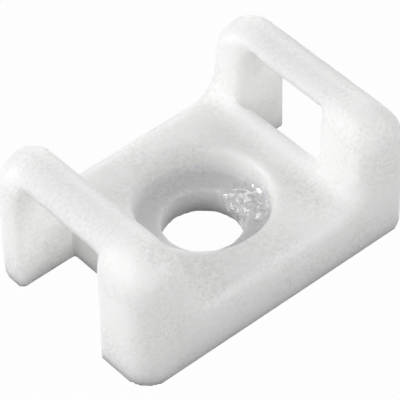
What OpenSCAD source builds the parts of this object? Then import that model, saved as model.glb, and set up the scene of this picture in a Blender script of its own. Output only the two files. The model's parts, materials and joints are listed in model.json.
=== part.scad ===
// Screw-on cable tie mount, moulded in one piece from natural nylon.
// The mounting face lies on z = 0, the cable runs along y, the tie along x.

/* [Overall size] */
// Length over the two end faces
body_l = 15; // [14.5:0.1:18]
// Width over the two long sides
body_w = 10; // [9.4:0.1:13]
// Height of an end wall over the mounting face, before its ridge is rounded
body_h = 6.7; // [6.5:0.05:7.5]
// Radius of the four upright corners, seen from above
corner_r = 1.2; // [0.6:0.05:1.5]

/* [Cradle] */
// Height of the cradle floor over the mounting face
floor_h = 2.7; // [2.4:0.05:3]
// Radius in the corner between the floor and an end wall
cradle_r = 1.3; // [0.8:0.05:1.5]
// Rounding of the edges along both sides of the cradle
edge_r = 0.85; // [0.3:0.05:0.9]

/* [End walls] */
// Thickness of an end wall at its foot, where its inner face would meet the floor
wall_t = 2.95; // [2.75:0.025:3]
// Outward lean of the inner face of an end wall, in degrees
wall_lean = 5; // [2:0.5:7.5]
// Radius of the ridge on the outer side
ridge_r = 1.85; // [1.5:0.05:2]
// Radius of the ridge on the cradle side
crest_r = 1.4; // [0.9:0.05:1.5]
// Radius of the shoulders, seen from the end
shoulder_r = 1.65; // [1:0.05:2]
// Radius of the rounded tips at the ends of a ridge, seen across a corner
tip_r = 2; // [1.6:0.05:2.3]

/* [Tie slots] */
// Clear width of a slot across the mount
slot_w = 5; // [4.4:0.05:5.4]
// Offset of the slots from the middle of the mount
slot_shift = 0.5; // [0:0.05:0.8]
// Distance from the foot of an end wall's inner face out to the base block's end
slot_set = 0.05; // [-0.1:0.025:0.1]
// Clear height of a slot at its mouth, under the cross bar
slot_h = 5.65; // [5.2:0.05:5.7]
// Rise of a slot's roof from the mouth to the cradle
slot_rise = 0.25; // [0.1:0.05:0.4]
// Rounding of the two lower edges of the cross bar
bar_r = 0.25; // [0.15:0.05:0.35]
// Rounding of the upright edges at the mouth of a slot
mouth_r = 0.35; // [0.2:0.05:0.5]
// Rounding of the upright edges where a slot opens into the cradle
throat_r = 0.4; // [0.2:0.05:1]

/* [Screw hole] */
// Nominal diameter of the screw
screw_d = 3; // [2.5:0.1:3.5]
// Play of the screw in the bore
screw_play = 0.6; // [0.2:0.05:0.7]
// Diameter of the screw head
head_d = 5.6; // [5:0.1:6]
// Play of the screw head in its recess
head_play = 0.35; // [0.3:0.05:1]
// Thickness of the base under the screw head
seat_t = 1.35; // [0.9:0.05:1.6]

/* [Hidden] */
$fn = 64;
// Step by which two rounded outlines cross instead of just touching
skim = 0.015;
// Length of the cradle between the feet of the end walls
cradle_l = body_l - 2 * wall_t;
// Angle that the cradle profile turns through at the foot of a wall
turn = 90 - wall_lean;
// Distance of the floor and of a wall face from the axis of the corner between them
foot_r = cradle_r - skim;
// Place of that axis along the mount
foot_x = cradle_l / 2 - foot_r * tan(turn / 2);
// Overlap of the runs of the sweep
lap = cradle_r / 2;
// Angle by which the turn overlaps both runs
lap_turn = 5;
// Step past the end of the turn, within that overlap
lap_lead = foot_r * tan(lap_turn / 2);
// Depth of the swept cross section, enough to reach every outer face
depth = body_l / 2;
// Length of the straight part of the wall face, past the ridge
wall_run = body_h;
// Where the base block ends and a slot begins
slot_x = cradle_l / 2 + slot_set;
// Depth of a slot from the end face to the base block
slot_d = body_l / 2 - slot_x;
// Middle of the rounding on the outer side of a ridge
ridge_x = body_l / 2 + skim - ridge_r;
ridge_z = body_h - ridge_r;
// Middle of the rounding on the cradle side of a ridge
crest_z = body_h - crest_r;
crest_x = wall_face(crest_z) + crest_r / cos(wall_lean) - skim;
// Distance of the upright corners from the middle, along a diagonal of the plan
corner_u = (body_l / 2 + body_w / 2 - 2 * corner_r) / sqrt(2) + corner_r;
// Overshoot of every cut past the face that it opens
past = 1;

// Half width of a circle of radius r at height h over or under its middle
function half_chord(r, h) = sqrt(max(0, r * r - h * h));

// Leaning inner face of a wall at height z, as if it had no rounding
function wall_face(z) = cradle_l / 2 + (z - floor_h) * tan(wall_lean);

// Inner and outer side of an end wall at height z, with the ridge's rounding
function wall_inner(z) = z < crest_z ? wall_face(z) : crest_x - half_chord(crest_r, z - crest_z);
function wall_outer(z) = ridge_x + (z < ridge_z ? ridge_r : half_chord(ridge_r, z - ridge_z));

// Inner upright edge of an end wall at height z, along the diagonal that points across the cradle
function rim_u(z) = (body_w / 2 - 2 * edge_r - wall_face(z)) / sqrt(2) + edge_r;

// Cross section of the cradle: level on top, both upper edges rounded by r
module cradle_section(r) {
  half_w = body_w / 2 + skim;
  translate([-half_w, -depth])
    square([2 * half_w, depth - r]);
  translate([r - half_w, -depth])
    square([2 * (half_w - r), depth]);
  for (side = [-1, 1])
    translate([side * (half_w - r), -r])
      circle(r);
}

// The sections that follow it, drawn out straight along x
module straight_run(length) {
  rotate([90, 0, 90])
    linear_extrude(length)
      children();
}

// Way of a section up one wall: the first one turns round the foot, the second runs up the face
// and starts by lead before the end of the turn
module along_wall(lead) {
  translate([foot_x, 0, floor_h + foot_r]) {
    rotate([90, 0, 0])
      rotate([0, 0, -90 - lap_turn])
        rotate_extrude(angle = turn + 2 * lap_turn)
          translate([cradle_r, 0])
            mirror([1, 0])
              rotate(-90)
                children(0);
    rotate([0, -turn, 0])
      translate([-lead, 0, -foot_r])
        straight_run(wall_run + lead)
          children(1);
  }
}

// Foot and inner face of one wall
module wall_sweep() {
  along_wall(lap) {
    cradle_section(edge_r + 2 * skim);
    cradle_section(edge_r);
  }
}

// Floor and both walls as one sweep along the cradle's profile
module cradle_sweep() {
  translate([-foot_x - lap, 0, floor_h])
    straight_run(2 * (foot_x + lap))
      cradle_section(edge_r);
  wall_sweep();
  mirror([1, 0, 0])
    wall_sweep();
}

// Outline seen from above
module plan_outline() {
  reach_x = body_l / 2 - corner_r;
  reach_y = body_w / 2 - corner_r;
  square([2 * reach_x, 2 * (reach_y + corner_r)], center = true);
  square([2 * (reach_x + corner_r), 2 * reach_y], center = true);
  for (sx = [-1, 1])
    for (sy = [-1, 1])
      translate([sx * reach_x, sy * reach_y])
        circle(corner_r);
}

// Upright outline of half width half, with its two upper corners rounded by r
module arch_outline(half, r) {
  reach = half + skim - r;
  rise = body_h + skim - r;
  translate([-reach - r, -past])
    square([2 * (reach + r), rise + past]);
  translate([-reach, -past])
    square([2 * reach, rise + r + past]);
  for (side = [-1, 1])
    translate([side * reach, rise])
      circle(r);
}

// Half of the outline seen from the side: the ridge of one end wall
module ridge_outline() {
  intersection() {
    union() {
      translate([0, -past])
        square([ridge_x, body_h + past]);
      translate([0, -past])
        square([ridge_x + ridge_r, ridge_z + past]);
      translate([ridge_x, ridge_z])
        circle(ridge_r);
    }
    union() {
      translate([crest_x, -past])
        square([body_l, body_h + past]);
      translate([0, -past])
        square([body_l, crest_z + past]);
      translate([crest_x, crest_z])
        circle(crest_r);
    }
  }
}

module side_outline() {
  ridge_outline();
  mirror([1, 0])
    ridge_outline();
}

// Limit of two opposite outer tips, across the mount at an angle
module diagonal_arch(angle) {
  rotate([0, 0, angle])
    translate([0, body_l, 0])
      rotate([90, 0, 0])
        linear_extrude(2 * body_l)
          arch_outline(corner_u, tip_r);
}

// What is taken off one inner tip, on the wall and side with positive x and y
module inner_tip() {
  rise = body_h + skim - tip_r;
  reach = rim_u(rise) + skim - tip_r;
  rotate([0, 0, 135])
    translate([0, -cradle_l / 2 / sqrt(2), 0])
      rotate([90, 0, 0])
        linear_extrude(body_l)
          translate([reach, rise])
            difference() {
              square(tip_r + past);
              circle(tip_r);
            }
}

// The moulded block before its openings are cut
module block() {
  intersection() {
    union() {
      cradle_sweep();
    }
    linear_extrude(body_h + past)
      plan_outline();
    translate([-body_l / 2 - past, 0, 0])
      straight_run(body_l + 2 * past)
        arch_outline(body_w / 2, shoulder_r);
    diagonal_arch(45);
    diagonal_arch(-45);
    translate([0, body_w / 2 + past, 0])
      rotate([90, 0, 0])
        linear_extrude(body_w + 2 * past)
          side_outline();
  }
}

// Slot outline seen from above, with its mouth rounded at the end face
module slot_plan() {
  mouth = body_l / 2 + skim - mouth_r;
  translate([slot_x - past, -slot_w / 2])
    square([slot_d + 2 * past, slot_w]);
  difference() {
    translate([mouth, -slot_w / 2 - mouth_r])
      square([mouth_r + past, slot_w + 2 * mouth_r]);
    for (side = [-1, 1])
      translate([mouth, side * (slot_w / 2 + mouth_r)])
        circle(mouth_r);
  }
}

// Slot outline seen from the side: its roof rises to the cradle, under a cross bar with two round
// lower edges
module slot_side() {
  roof_in = slot_h + slot_rise + bar_r;
  roof_out = slot_h + bar_r;
  bar_in = wall_inner(roof_in) - skim + bar_r;
  bar_out = wall_outer(roof_out) + skim - bar_r;
  end = body_l / 2 + 2 * past;
  difference() {
    translate([slot_x - past, -past])
      square([slot_d + 2 * past, roof_in + past]);
    polygon([
      [bar_in, roof_in], [bar_out, roof_out], [end, roof_out],
      [end, roof_in + past], [bar_in, roof_in + past]
    ]);
    translate([bar_in, roof_in])
      rotate(-atan2(slot_rise, bar_out - bar_in))
        translate([0, skim - bar_r])
          square([norm([bar_out - bar_in, slot_rise]), bar_r]);
    translate([bar_in, roof_in])
      circle(bar_r);
    translate([bar_out, roof_out])
      circle(bar_r);
  }
}

// What is taken off both upright edges of a slot's opening, seen along a wall's face
module throat_section() {
  drop = throat_r - skim;
  for (side = [0, 1])
    mirror([side, 0])
      difference() {
        translate([slot_w / 2 - lap, -drop])
          square([lap + drop, drop + lap]);
        translate([slot_w / 2 + drop, -drop])
          circle(throat_r);
      }
}

// Rounding of those edges, from the base block up to the slot's roof
module throat() {
  intersection() {
    along_wall(-lap_lead) {
      throat_section();
      throat_section();
    }
    translate([0, -body_w / 2, 0])
      cube([body_l, body_w, slot_h + slot_rise]);
  }
}

// Way of the tie under one cross bar, open at the mounting face
module tie_slot() {
  translate([0, slot_shift, 0])
    intersection() {
      union() {
        intersection() {
          translate([0, 0, -past])
            linear_extrude(body_h + 2 * past)
              slot_plan();
          translate([0, body_w / 2, 0])
            rotate([90, 0, 0])
              linear_extrude(body_w)
                slot_side();
        }
        throat();
      }
      translate([slot_x, -body_w / 2, -past])
        cube([slot_d + past, body_w, body_h + 2 * past]);
    }
}

// Everything that is cut from one end wall
module wall_cuts() {
  inner_tip();
  mirror([0, 1, 0])
    inner_tip();
  tie_slot();
}

// Bore for the screw and the recess for its head
module screw_hole() {
  translate([0, 0, -past])
    cylinder(d = screw_d + screw_play, h = floor_h + 2 * past);
  translate([0, 0, seat_t])
    cylinder(d = head_d + head_play, h = floor_h + past);
}

module tie_mount() {
  color([0.93, 0.93, 0.9])
    difference() {
      block();
      wall_cuts();
      mirror([1, 0, 0])
        wall_cuts();
      screw_hole();
    }
}

tie_mount();
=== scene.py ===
# %% [markdown]
# # A cable tie mount in natural nylon
#
# The object is a small saddle, 15 mm long, moulded in one shot from unfilled nylon. A cable lies in
# the cradle, a tie runs through the slots at both ends, and one screw holds the mount down.
# The imported model is the frame: it fixes every size, and this lesson only gives it soft edges,
# a finish and light. We load it first and keep its box, so that the softened body can be kept
# inside it.

# %% Load the frame
import json
import math

import bmesh
import bpy
from mathutils import Matrix, Vector


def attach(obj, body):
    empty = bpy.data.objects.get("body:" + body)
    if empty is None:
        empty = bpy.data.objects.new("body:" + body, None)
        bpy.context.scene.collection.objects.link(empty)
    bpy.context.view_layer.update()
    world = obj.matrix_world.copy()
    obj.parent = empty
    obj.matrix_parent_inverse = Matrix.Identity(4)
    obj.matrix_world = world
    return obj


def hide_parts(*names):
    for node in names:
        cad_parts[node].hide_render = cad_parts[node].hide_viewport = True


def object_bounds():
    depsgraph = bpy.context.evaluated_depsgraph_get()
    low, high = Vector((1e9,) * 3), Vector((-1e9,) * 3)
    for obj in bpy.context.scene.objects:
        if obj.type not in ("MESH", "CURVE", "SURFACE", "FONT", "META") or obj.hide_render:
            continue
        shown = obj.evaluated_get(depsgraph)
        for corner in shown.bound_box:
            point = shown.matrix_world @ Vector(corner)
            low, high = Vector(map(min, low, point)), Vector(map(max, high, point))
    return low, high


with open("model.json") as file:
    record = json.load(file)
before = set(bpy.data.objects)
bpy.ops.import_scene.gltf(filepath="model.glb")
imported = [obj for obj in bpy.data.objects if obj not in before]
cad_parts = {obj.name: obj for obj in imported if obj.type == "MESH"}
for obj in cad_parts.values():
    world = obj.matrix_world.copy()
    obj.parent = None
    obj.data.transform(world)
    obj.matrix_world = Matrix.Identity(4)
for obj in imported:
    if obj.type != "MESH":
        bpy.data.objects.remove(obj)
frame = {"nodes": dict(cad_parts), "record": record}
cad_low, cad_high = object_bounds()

MM = 0.001
scene = bpy.context.scene
print("CAD box in mm:", [round((b - a) / MM, 3) for a, b in zip(cad_low, cad_high)])

# %% [markdown]
# The softening and the finish both have to know where the screw hole, the cradle and the tie slots
# are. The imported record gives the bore, the seat of the screw head and the floor of the cradle as
# mounts, so we read those. The recess over the seat and the slots are no mounts, and their sizes
# are written here. From here on, sizes on the mount are in millimetres.

# %% Sizes of the hole, the cradle and the slots
mounts = {mount_row["name"]: mount_row for mount_row in frame["record"]["mounts"]}
BORE_RADIUS = mounts["screw_bore"]["dims"]["r_mm"]
SEAT_HEIGHT = mounts["head_seat"]["pos_m"][2] / MM
CRADLE_HEIGHT = mounts["cradle_floor"]["pos_m"][2] / MM
RECESS_RADIUS = 2.975
SLOT_MIDDLE = 0.5
SLOT_HALF = 2.5
print("bore radius", BORE_RADIUS, "mm, seat and cradle at", round(SEAT_HEIGHT, 3), round(CRADLE_HEIGHT, 3))

# %% [markdown]
# ## The camera
#
# The photograph was taken from far away with a long lens, so parallel edges stay nearly parallel.
# We write the place of the camera as an angle round the object, an angle above the floor, a
# distance and a small tilt. The camera aims at a point a little above the mounting face, which
# puts the object in the middle of the picture, and so the lens needs no shift.

# %% Place the camera
AZIMUTH = math.radians(40.228)
ELEVATION = math.radians(46.093)
TILT = math.radians(-1.349)
DISTANCE = 130.153 * MM
AIM_RIGHT = -0.136 * MM
AIM_UP = 1.788 * MM
LENS = 273.3
SENSOR = 36
CLIP_NEAR = 10 * MM
CLIP_FAR = 10


def turned_axes(azimuth, elevation, tilt):
    """Right, up and back of a camera that looks at the middle of the mounting face."""
    back = Vector((-math.sin(azimuth) * math.cos(elevation),
                   -math.cos(azimuth) * math.cos(elevation),
                   math.sin(elevation)))
    level = Vector((math.cos(azimuth), -math.sin(azimuth), 0))
    rise = back.cross(level)
    right = level * math.cos(tilt) + rise * math.sin(tilt)
    return right, back.cross(right), back


def facing(place, aim, up):
    """Matrix of a camera or lamp at place that looks at aim, with up as its upper side."""
    back = (place - aim).normalized()
    right = up.cross(back).normalized()
    axes = Matrix((right, back.cross(right), back)).transposed()
    return Matrix.Translation(place) @ axes.to_4x4()


cam_right, cam_up, cam_back = turned_axes(AZIMUTH, ELEVATION, TILT)
camera = bpy.data.objects.new("camera", bpy.data.cameras.new("camera"))
camera.data.sensor_width = SENSOR
camera.data.lens = LENS
camera.data.clip_start = CLIP_NEAR
camera.data.clip_end = CLIP_FAR
camera_aim = cam_right * AIM_RIGHT + cam_up * AIM_UP
camera.matrix_world = facing(cam_back * DISTANCE, camera_aim, cam_up)
scene.collection.objects.link(camera)
scene.camera = camera
print("camera at", [round(x / MM, 1) for x in camera.location], "mm, lens", LENS, "mm")

# %% [markdown]
# ## The moulded body
#
# A mould can't have knife edges, and nylon doesn't fill them: every edge of the real mount is soft.
# A bevel would trip over the many short edges where slots, ridges and corners cross. So we turn a
# copy of the frame's mesh into an even skin of small squares, with a voxel remesh, and let each
# point drift towards its neighbours. Flat faces stay where they are and edges become round.
#
# The copy is worked on in millimetres, because the remesh has a smallest voxel of a tenth of a
# thousandth of a unit. A frame mesh is loose triangles, so its doubles are merged first.

# %% Copy the frame's mesh in millimetres
MERGE_REACH = 0.0005


def merged_copy(node, name):
    """A copy of a frame node in millimetres, with its loose triangles joined."""
    mesh = frame["nodes"][node].data.copy()
    mesh.name = name
    mesh.materials.clear()
    mesh.transform(Matrix.Scale(1 / MM, 4))
    work = bmesh.new()
    work.from_mesh(mesh)
    bmesh.ops.remove_doubles(work, verts=work.verts, dist=MERGE_REACH)
    work.to_mesh(mesh)
    work.free()
    copy = bpy.data.objects.new(name, mesh)
    scene.collection.objects.link(copy)
    return copy


body_copy = merged_copy("tie_mount", "body_copy")
print("merged copy:", len(body_copy.data.vertices), "points,", len(body_copy.data.polygons), "faces")

# %% Cover the copy with an even skin
VOXEL = 0.085
skin = body_copy.modifiers.new("skin", "REMESH")
skin.mode = "VOXEL"
skin.voxel_size = VOXEL
skin.use_smooth_shade = True
print("skin of squares", VOXEL, "mm wide")

# %% [markdown]
# ## Small helpers for node trees
#
# Geometry trees and materials share their arithmetic nodes, so a handful of helpers serves both.
# Each one adds a node and hands back its result, and takes plain numbers and sockets alike. A mask
# is a number from 0 to 1 that says where something happens, and fade makes most of them: its soft
# step runs the other way when it starts above its end.

# %% Helpers for node trees
def add_node(tree, kind, sockets=None, **properties):
    """A node with its properties set and its inputs, by name or number, set or linked."""
    made = tree.nodes.new(kind)
    for key, value in properties.items():
        setattr(made, key, value)
    for key, value in (sockets or {}).items():
        if isinstance(value, bpy.types.NodeSocket):
            tree.links.new(value, made.inputs[key])
        else:
            made.inputs[key].default_value = value
    return made


def math_of(tree, operation, *values):
    """The result of one sum on numbers."""
    return add_node(tree, "ShaderNodeMath", dict(enumerate(values)), operation=operation).outputs[0]


def vector_of(tree, operation, *values):
    """The result of one sum on vectors that gives a vector."""
    made = add_node(tree, "ShaderNodeVectorMath", dict(enumerate(values)), operation=operation)
    return made.outputs["Vector"]


def measure_of(tree, operation, *values):
    """The result of one sum on vectors that gives a number, such as a length."""
    made = add_node(tree, "ShaderNodeVectorMath", dict(enumerate(values)), operation=operation)
    return made.outputs["Value"]


def scaled(tree, vector, factor):
    """A vector or colour times a number."""
    made = add_node(tree, "ShaderNodeVectorMath", {0: vector, "Scale": factor}, operation="SCALE")
    return made.outputs["Vector"]


def product(tree, mask, *others):
    """Several masks in one."""
    for other in others:
        mask = math_of(tree, "MULTIPLY", mask, other)
    return mask


def fade(tree, value, start, end):
    """A mask that goes softly from 0 at start to 1 at end."""
    sockets = {"Value": value, "From Min": start, "From Max": end}
    return add_node(tree, "ShaderNodeMapRange", sockets, interpolation_type="SMOOTHSTEP").outputs["Result"]


def ramp(tree, value, reach=(0.0, 1.0), results=(0.0, 1.0)):
    """A straight ramp: the values in reach become those in results."""
    sockets = {"Value": value, "From Min": reach[0], "From Max": reach[1]}
    sockets.update({"To Min": results[0], "To Max": results[1]})
    return add_node(tree, "ShaderNodeMapRange", sockets).outputs["Result"]


def mixed(tree, mask, outside, inside):
    """One number outside a mask and another inside it."""
    sockets = {"Factor": mask, "A": outside, "B": inside}
    return add_node(tree, "ShaderNodeMix", sockets, data_type="FLOAT").outputs["Result"]


print("helpers for numbers, vectors and masks are ready")

# %% [markdown]
# ## The softening rule as a node tree
#
# The rule is the same all over the piece, so it is a Geometry Nodes tree, and its sizes are named
# inputs. A count of passes says how often a point drifts towards its neighbours, so more passes
# make a rounder edge.

# %% Name the inputs of the softening tree
SOFTENING = {
    "Edge passes": 3,
    "Foot height": 0.3,
    "Shoulder passes": 16,
    "Shoulder height": 4.6,
    "Shoulder reach": 2.8,
    "Bore radius": BORE_RADIUS,
    "Recess radius": RECESS_RADIUS,
    "Rim passes": 14,
    "Slot passes": 60,
    "Slot middle": SLOT_MIDDLE,
    "Slot half": SLOT_HALF,
    "Box low": list(cad_low / MM),
    "Box high": list(cad_high / MM),
}
SOCKET_KINDS = {int: "NodeSocketInt", float: "NodeSocketFloat", list: "NodeSocketVector"}
LEVEL = (1, 1, 0)
UPRIGHT = (0, 0, 1)

soften = bpy.data.node_groups.new("soften_moulding", "GeometryNodeTree")
soften.is_modifier = True
soften.interface.new_socket("Geometry", in_out="INPUT", socket_type="NodeSocketGeometry")
soften.interface.new_socket("Geometry", in_out="OUTPUT", socket_type="NodeSocketGeometry")
soft_inputs = {}
for name, value in SOFTENING.items():
    kind = SOCKET_KINDS[type(value)]
    soft_inputs[name] = soften.interface.new_socket(name, in_out="INPUT", socket_type=kind)
finish_input = soften.interface.new_socket("Finish", in_out="INPUT", socket_type="NodeSocketMaterial")

given = add_node(soften, "NodeGroupInput").outputs
place = add_node(soften, "GeometryNodeInputPosition").outputs[0]
x, y, z = add_node(soften, "ShaderNodeSeparateXYZ", {0: place}).outputs
flat_place = vector_of(soften, "MULTIPLY", place, LEVEL)
off_axis = measure_of(soften, "LENGTH", flat_place)
print("inputs:", list(soft_inputs))

# %% [markdown]
# The frame's mesh has the bore and the recess as polygons. So the first step pushes each point of
# their walls out to the true radius. A point belongs to the recess when it is above the seat and
# close to the recess's radius.

# %% Make the bore and the recess round
WALL_BAND = 0.12
WALL_START = SEAT_HEIGHT + 0.05


def moved(geometry, new_place):
    """The geometry with its points at new places."""
    sockets = {"Geometry": geometry, "Position": new_place}
    return add_node(soften, "GeometryNodeSetPosition", sockets).outputs[0]


near_wall = math_of(soften, "COMPARE", off_axis, given["Recess radius"], WALL_BAND)
over_seat = math_of(soften, "GREATER_THAN", z, WALL_START)
on_wall = product(soften, near_wall, over_seat)
bore_round = math_of(soften, "MAXIMUM", off_axis, given["Bore radius"])
wall_round = math_of(soften, "MAXIMUM", off_axis, given["Recess radius"])
true_radius = mixed(soften, on_wall, bore_round, wall_round)
stretch = math_of(soften, "DIVIDE", true_radius, off_axis)
upright_place = vector_of(soften, "MULTIPLY", place, UPRIGHT)
round_place = vector_of(soften, "ADD", scaled(soften, flat_place, stretch), upright_place)
body = moved(given["Geometry"], round_place)
print("recess wall: above", round(WALL_START, 3), "mm and within", WALL_BAND, "mm of its radius")

# %% [markdown]
# Now the edges. All of them are blurred a little, apart from the outer bottom edge, which stays
# sharp, as it would where the halves of a mould meet. The lower edge of the bore is soft, so a mask
# round the axis takes it in again. The shoulders of the end walls are round like the tip of a
# finger, and a mask at their height, near the two long sides, blurs them further.

# %% Soften the edges and the shoulders
BORE_AREA = 2.4
SHOULDER_RISE = 0.9
SHOULDER_BAND = 1.2


def blurred(geometry, passes, mask):
    """The geometry with its points drawn to their neighbours inside a mask."""
    sockets = {"Value": place, "Iterations": passes, "Weight": mask}
    blur = add_node(soften, "GeometryNodeBlurAttribute", sockets, data_type="FLOAT_VECTOR")
    return moved(geometry, blur.outputs["Value"])


above_foot = fade(soften, z, 0.0, given["Foot height"])
round_bore = math_of(soften, "LESS_THAN", off_axis, BORE_AREA)
edge_mask = math_of(soften, "MAXIMUM", round_bore, above_foot)
body = blurred(body, given["Edge passes"], edge_mask)

high_end = math_of(soften, "ADD", given["Shoulder height"], SHOULDER_RISE)
wide_end = math_of(soften, "ADD", given["Shoulder reach"], SHOULDER_BAND)
high_up = fade(soften, z, given["Shoulder height"], high_end)
far_out = fade(soften, math_of(soften, "ABSOLUTE", y), given["Shoulder reach"], wide_end)
body = blurred(body, given["Shoulder passes"], product(soften, high_up, far_out))
print(SOFTENING["Edge passes"], "passes on the edges,", SOFTENING["Shoulder passes"], "on the shoulders")

# %% [markdown]
# Two more places are softer than a plain edge. The rim of the recess is a wide curve, so its mask
# is a ring. The inner upright edge of each tie slot runs softly into the leg on the side that
# shows, so its mask stands beside that edge, over the cradle and under the cross bar.

# %% Soften the rim and the slots
RIM_RING = (0.7, 0.3)
RIM_RISE = (SEAT_HEIGHT + 0.25, SEAT_HEIGHT + 0.75)
SLOT_BAND = (0.95, 0.3)
SLOT_BOTTOM = (CRADLE_HEIGHT + 0.2, CRADLE_HEIGHT + 0.8)
SLOT_TOP = (6.25, 5.85)
SLOT_MOUTH = (4.25, 4.65)
SLOT_DEPTH = (6.2, 5.4)

off_rim = math_of(soften, "ABSOLUTE", math_of(soften, "SUBTRACT", off_axis, given["Recess radius"]))
rim_mask = product(soften, fade(soften, off_rim, *RIM_RING), fade(soften, z, *RIM_RISE))
body = blurred(body, given["Rim passes"], rim_mask)

off_middle = math_of(soften, "SUBTRACT", y, given["Slot middle"])
off_side = math_of(soften, "ABSOLUTE", math_of(soften, "SUBTRACT", off_middle, given["Slot half"]))
to_end = math_of(soften, "ABSOLUTE", x)
slot_tall = product(soften, fade(soften, z, *SLOT_BOTTOM), fade(soften, z, *SLOT_TOP))
slot_deep = product(soften, fade(soften, to_end, *SLOT_MOUTH), fade(soften, to_end, *SLOT_DEPTH))
slot_mask = product(soften, fade(soften, off_side, *SLOT_BAND), slot_deep, slot_tall)
body = blurred(body, given["Slot passes"], slot_mask)
print(SOFTENING["Rim passes"], "passes on the rim,", SOFTENING["Slot passes"], "in the slots")

# %% [markdown]
# The remeshed skin may stand a hair outside the frame's faces. So the last step keeps every point
# inside the frame's box. The tree then ends in plain geometry with the finish on it.

# %% Keep the body inside the box and end the tree
not_below = vector_of(soften, "MAXIMUM", place, given["Box low"])
body = moved(body, vector_of(soften, "MINIMUM", not_below, given["Box high"]))
real = add_node(soften, "GeometryNodeRealizeInstances", {"Geometry": body}).outputs[0]
dressed = add_node(soften, "GeometryNodeSetMaterial", {"Geometry": real, "Material": given["Finish"]})
add_node(soften, "NodeGroupOutput", {"Geometry": dressed.outputs[0]})
print("softening tree:", len(soften.nodes), "nodes")

# %% [markdown]
# ## The finish: natural nylon
#
# Unfilled nylon is milky: light goes in, wanders a few millimetres and comes out again, which is
# why the thin walls glow and the shade inside the recess stays soft. That is subsurface
# scattering. Everything else on this skin is small, and each part of it gets a step of its own.
# They all read the place on the object in millimetres, so the numbers are real sizes.

# %% Make the nylon
SCATTER_DEPTH = 2.5 * MM
SCATTER_TINT = (1.0, 1.0, 0.95)
NYLON_IOR = 1.53


def new_material(name):
    """An empty node material and its tree."""
    made = bpy.data.materials.new(name)
    made.use_nodes = True
    made.node_tree.nodes.clear()
    return made, made.node_tree


nylon, nylon_tree = new_material("natural_nylon")
surface = add_node(nylon_tree, "ShaderNodeBsdfPrincipled", subsurface_method="RANDOM_WALK")
surface.inputs["Subsurface Weight"].default_value = 1.0
surface.inputs["Subsurface Radius"].default_value = SCATTER_TINT
surface.inputs["Subsurface Scale"].default_value = SCATTER_DEPTH
surface.inputs["IOR"].default_value = NYLON_IOR
add_node(nylon_tree, "ShaderNodeOutputMaterial", {"Surface": surface.outputs[0]})
spot = scaled(nylon_tree, add_node(nylon_tree, "ShaderNodeTexCoord").outputs["Object"], 1 / MM)
print("nylon scatters light over", SCATTER_DEPTH / MM, "mm")

# %% [markdown]
# The tone of natural nylon isn't even: where the melt cooled slowly it is a little whiter. A slow
# noise gives that cloud, between two tones that differ by less than two parts in a hundred.

# %% Milky tone
CLOUD_SCALE = 0.45
CLOUD_DETAIL = 3
CLOUD_TONES = {0.3: (0.93, 0.93, 0.91, 1), 0.7: (0.945, 0.946, 0.927, 1)}


def noise(scale, detail=2, distortion=0):
    """A noise on the nylon, with scale as its cells in a millimetre."""
    sockets = {"Vector": spot, "Scale": scale, "Detail": detail, "Distortion": distortion}
    return add_node(nylon_tree, "ShaderNodeTexNoise", sockets).outputs["Fac"]


tone = add_node(nylon_tree, "ShaderNodeValToRGB", {"Fac": noise(CLOUD_SCALE, CLOUD_DETAIL)})
for stop, (position, colour) in zip(tone.color_ramp.elements, CLOUD_TONES.items()):
    stop.position = position
    stop.color = colour
milky = tone.outputs[0]
print("clouds about", round(1 / CLOUD_SCALE, 1), "mm wide")

# %% [markdown]
# Close up the skin is speckled, more in some patches than in others. So a fine noise scales the
# tone, and a slow noise says how much of it shows.

# %% Fine speckle
SPECK_SCALE = 6.5
SPECK_REACH = (0.3, 0.7)
SPECK_TONES = (0.86, 1.055)
PATCH_SCALE = 0.5
PATCH_REACH = (0.4, 0.62)
PATCH_SHARES = (0.25, 1.0)

speck = ramp(nylon_tree, noise(SPECK_SCALE), SPECK_REACH, SPECK_TONES)
patch = ramp(nylon_tree, noise(PATCH_SCALE), PATCH_REACH, PATCH_SHARES)
speckled = scaled(nylon_tree, milky, mixed(nylon_tree, patch, 1.0, speck))
print("specks about", round(1 / SPECK_SCALE, 2), "mm wide, in patches of", 1 / PATCH_SCALE, "mm")

# %% [markdown]
# The faces of such a mould are often spark eroded, which leaves a fine grain on the nylon. At about
# three hundredths of a millimetre it is too small for geometry, so it is a bump, and it breaks up
# the sheen.

# %% Grain of the mould
GRAIN_SCALE = 6.0
GRAIN_DEPTH = 0.03 * MM
GRAIN_STRENGTH = 0.6

grain_sockets = {"Strength": GRAIN_STRENGTH, "Distance": GRAIN_DEPTH, "Height": noise(GRAIN_SCALE)}
grain_bump = add_node(nylon_tree, "ShaderNodeBump", grain_sockets).outputs[0]
print("grain", GRAIN_DEPTH / MM, "mm deep")

# %% [markdown]
# On the right of the bore the photograph shows a patch of bright dots with dark ones beside them. It
# looks as if the skin of the seat were torn into tiny facets there, some of which mirror the studio.
# A mask round that place fades in a coarser bump, a smoother skin, mirror facets on the tops of the
# noise and painted shade in its hollows, where the colour is darkened into dark pits.

# %% Torn skin and painted pit shade at the mouth of the bore
SCAR_AND_SHADE_PLACE = (1.85, -0.4, 1.45)
SCAR_AND_SHADE_REACH = (1.7, 0.7)
FLAKE_SCALE = 3.8
FLAKE_TWIST = 0.6
FLAKE_DEPTH = 0.15 * MM
ROUGHNESS = (0.48, 0.1)
GLINT_REACH = (0.54, 0.6)
PIT_SHADE_REACH = (0.36, 0.45)
PIT_SHADE_TONES = (0.72, 1.0)

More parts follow.
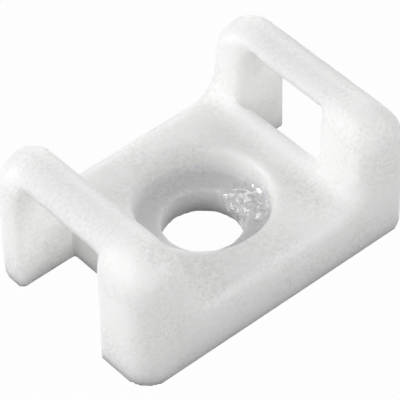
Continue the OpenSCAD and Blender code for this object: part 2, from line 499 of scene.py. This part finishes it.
scar_and_pit_shade = fade(nylon_tree, measure_of(nylon_tree, "DISTANCE", spot, SCAR_AND_SHADE_PLACE), *SCAR_AND_SHADE_REACH)
flakes = noise(FLAKE_SCALE, distortion=FLAKE_TWIST)
flake_sockets = {"Strength": 1.0, "Distance": FLAKE_DEPTH, "Normal": grain_bump}
flake_sockets["Height"] = product(nylon_tree, flakes, scar_and_pit_shade)
flake_bump = add_node(nylon_tree, "ShaderNodeBump", flake_sockets).outputs[0]
facets = product(nylon_tree, ramp(nylon_tree, flakes, GLINT_REACH), scar_and_pit_shade)
# Painted shade: in the hollows of the noise the colour is darkened into dark pits.
pit_shade = mixed(nylon_tree, scar_and_pit_shade, 1.0, ramp(nylon_tree, flakes, PIT_SHADE_REACH, PIT_SHADE_TONES))
pit_shaded = scaled(nylon_tree, speckled, pit_shade)
nylon_tree.links.new(flake_bump, surface.inputs["Normal"])
nylon_tree.links.new(ramp(nylon_tree, scar_and_pit_shade, results=ROUGHNESS), surface.inputs["Roughness"])
nylon_tree.links.new(facets, surface.inputs["Metallic"])
print("torn skin within", SCAR_AND_SHADE_REACH[0], "mm of", SCAR_AND_SHADE_PLACE)

# %% [markdown]
# The lower part of the screw recess lies in shade, and that shade is painted: its colour is made
# cooler and greyer than the rest. The bore gets a painted cool tint of shade too. Both are rounds
# about one axis, so the distance from that axis and the height make the masks.

# %% Painted cool shade in the recess and the bore
BORE_EDGE = BORE_RADIUS + 0.15
RECESS_LIMIT = RECESS_RADIUS + 0.125
RECESS_SHADE = (SEAT_HEIGHT + 0.53, SEAT_HEIGHT + 0.25)
RECESS_PAINTED_SHADE = (-0.05, -0.06, -0.028)
BORE_PAINTED_SHADE_TINT = (0.03, 0.022, 0.055)
NO_CHANGE = (1, 1, 1)

spot_x, spot_y, spot_z = add_node(nylon_tree, "ShaderNodeSeparateXYZ", {0: spot}).outputs
spot_off_axis = measure_of(nylon_tree, "LENGTH", vector_of(nylon_tree, "MULTIPLY", spot, LEVEL))
outside_bore = fade(nylon_tree, spot_off_axis, BORE_RADIUS, BORE_EDGE)
inside_bore = fade(nylon_tree, spot_off_axis, BORE_EDGE, BORE_RADIUS)
within_recess = math_of(nylon_tree, "LESS_THAN", spot_off_axis, RECESS_LIMIT)
# Painted shade: below the rim of the recess the colour is made darker and cooler, and in the bore cooler.
recess_shade_mask = product(nylon_tree, outside_bore, within_recess, fade(nylon_tree, spot_z, *RECESS_SHADE))
recess_shade_tone = vector_of(nylon_tree, "MULTIPLY_ADD", recess_shade_mask, RECESS_PAINTED_SHADE, NO_CHANGE)
hole_shade_tone = vector_of(nylon_tree, "MULTIPLY_ADD", inside_bore, BORE_PAINTED_SHADE_TINT, recess_shade_tone)
recess_shaded = vector_of(nylon_tree, "MULTIPLY", pit_shaded, hole_shade_tone)
print("cooler tone within", round(RECESS_LIMIT, 3), "mm of the axis, below", round(RECESS_SHADE[0], 3))

# %% [markdown]
# The two ends of the base block, which the tie passes on its way down, lie in shade under the cross
# bar and are greyer than the outside in the photograph. That shade is painted: a mask takes in a
# thin layer along X, as wide as the slot, and darkens its colour.

# %% Painted shade on the faces in the tie slots
FACE_PLACE = 4.62
FACE_BAND = 0.13
FACE_TOP = CRADLE_HEIGHT - 0.05
FACE_HALF = SLOT_HALF + 0.05
SLOT_SHADE_TONES = (1.0, 0.83)

from_middle = math_of(nylon_tree, "ABSOLUTE", spot_x)
at_face = math_of(nylon_tree, "COMPARE", from_middle, FACE_PLACE, FACE_BAND)
below_cradle = math_of(nylon_tree, "LESS_THAN", spot_z, FACE_TOP)
under_bar = math_of(nylon_tree, "COMPARE", spot_y, SLOT_MIDDLE, FACE_HALF)
slot_face_shade = product(nylon_tree, at_face, below_cradle, under_bar)
# Painted shade: under the cross bar the colour of these faces is darkened.
slot_shaded = scaled(nylon_tree, recess_shaded, ramp(nylon_tree, slot_face_shade, results=SLOT_SHADE_TONES))
nylon_tree.links.new(slot_shaded, surface.inputs["Base Color"])
print("nylon:", len(nylon_tree.nodes), "nodes")

# %% [markdown]
# ## Making the piece
#
# A modifier's inputs are set by the identifier of each socket, before the object is evaluated for
# the first time. The evaluated result becomes a plain mesh, goes back from millimetres to metres,
# and stands for the frame's node from now on.

# %% Soften and finish the body
softening = body_copy.modifiers.new("softening", "NODES")
softening.node_group = soften
for name, value in SOFTENING.items():
    softening[soft_inputs[name].identifier] = value
softening[finish_input.identifier] = nylon


def plain_piece(source, name):
    """The evaluated source as a plain mesh in metres, in an object of its own."""
    evaluated = source.evaluated_get(bpy.context.evaluated_depsgraph_get())
    mesh = bpy.data.meshes.new_from_object(evaluated)
    mesh.name = name
    mesh.transform(Matrix.Scale(MM, 4))
    mesh.shade_smooth()
    source.modifiers.clear()
    bpy.data.objects.remove(source)
    piece = bpy.data.objects.new(name, mesh)
    scene.collection.objects.link(piece)
    return piece


mount = plain_piece(body_copy, "moulded_mount")
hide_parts("tie_mount")
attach(mount, "root")
print("moulded mount:", len(mount.data.polygons), "faces,", [m.name for m in mount.data.materials])

# %% [markdown]
# ## Floor and light
#
# The photograph is a studio picture on white, with no strong shadow on any side. The floor is white
# to the camera and keeps a faint shadow of the mount, but it sends less light back up than a white
# card would, because the lower edges of the mount are darker in the photograph. It lies a hair
# under the mount, so that the two faces don't share a plane.

# %% Make the floor
FLOOR_HALF = 2.0
FLOOR_GAP = 0.02 * MM
CARD_GREY = (0.5, 0.5, 0.5, 1)
WHITE_SHARE = 0.975


def seen_rays(tree):
    """A mask that is 1 for what the camera, a reflection or a clear piece sees."""
    rays = add_node(tree, "ShaderNodeLightPath").outputs
    shiny = math_of(tree, "MAXIMUM", rays["Is Glossy Ray"], rays["Is Transmission Ray"])
    return math_of(tree, "MAXIMUM", rays["Is Camera Ray"], shiny)


floor_mesh = bpy.data.meshes.new("floor")
floor_corners = [(FLOOR_HALF * a, FLOOR_HALF * b, 0) for a, b in ((-1, -1), (1, -1), (1, 1), (-1, 1))]
floor_mesh.from_pydata(floor_corners, [], [(0, 1, 2, 3)])
floor = bpy.data.objects.new("floor", floor_mesh)
floor.location.z = -FLOOR_GAP
scene.collection.objects.link(floor)

paper, paper_tree = new_material("white_floor")
card = add_node(paper_tree, "ShaderNodeBsdfDiffuse", {"Color": CARD_GREY}).outputs[0]
glow = add_node(paper_tree, "ShaderNodeEmission", {"Strength": 1.0}).outputs[0]
white_part = math_of(paper_tree, "MULTIPLY", seen_rays(paper_tree), WHITE_SHARE)
paper_mix = add_node(paper_tree, "ShaderNodeMixShader", {0: white_part, 1: card, 2: glow}).outputs[0]
add_node(paper_tree, "ShaderNodeOutputMaterial", {"Surface": paper_mix})
floor_mesh.materials.append(paper)
print("floor", 2 * FLOOR_HALF, "m wide")

# %% [markdown]
# Six soft boxes stand in a ring round the mount, low down, so the walls are brighter than the
# cradle and the recess is the darkest place. Each row gives a lamp's angle round the mount, its
# angle above the floor and its power.

# %% Light the mount
RING = [(45, 15, 0.75), (90, 30, 0.27), (135, 18, 1.1), (180, 35, 0.5), (225, 22, 0.58), (315, 34, 0.93)]
LAMP_SIZE = 0.25
LAMP_DISTANCE = 0.45
LAMP_AIM = Vector((0, 0, 3 * MM))
UPWARDS = Vector((0, 0, 1))


def soft_lamp(name, turn, height, watts):
    """A square soft box at an angle round the mount and an angle above the floor, in degrees."""
    lamp = bpy.data.objects.new(name, bpy.data.lights.new(name, "AREA"))
    lamp.data.shape = "SQUARE"
    lamp.data.size = LAMP_SIZE
    lamp.data.energy = watts
    around = math.radians(turn)
    above = math.radians(height)
    way = Vector((math.cos(above) * math.cos(around), math.cos(above) * math.sin(around), math.sin(above)))
    lamp.matrix_world = facing(LAMP_DISTANCE * way, LAMP_AIM, UPWARDS)
    scene.collection.objects.link(lamp)
    return lamp


lamps = [soft_lamp(f"soft_box_{i + 1}", *row) for i, row in enumerate(RING)]
print(len(lamps), "soft boxes,", round(sum(lamp.data.energy for lamp in lamps), 2), "W in all")

# %% [markdown]
# The world gives a weak fill that reaches every side. To the camera and to reflections it is a pale
# studio instead, so that the torn facets have something bright to mirror.

# %% Make the world
FILL_COLOUR = (0.985, 0.985, 1.0, 1)
FILL_STRENGTH = 0.02
STUDIO_COLOUR = (0.8, 0.8, 0.8, 1)

world = bpy.data.worlds.new("studio")
scene.world = world
world.use_nodes = True
world_tree = world.node_tree
world_tree.nodes.clear()
fill = add_node(world_tree, "ShaderNodeBackground", {"Color": FILL_COLOUR, "Strength": FILL_STRENGTH})
pale = add_node(world_tree, "ShaderNodeBackground", {"Color": STUDIO_COLOUR, "Strength": 1.0})
world_parts = {0: seen_rays(world_tree), 1: fill.outputs[0], 2: pale.outputs[0]}
world_mix = add_node(world_tree, "ShaderNodeMixShader", world_parts)
add_node(world_tree, "ShaderNodeOutputWorld", {"Surface": world_mix.outputs[0]})
scene.view_settings.view_transform = "Standard"
print("world fill", FILL_STRENGTH, "and view", scene.view_settings.view_transform)
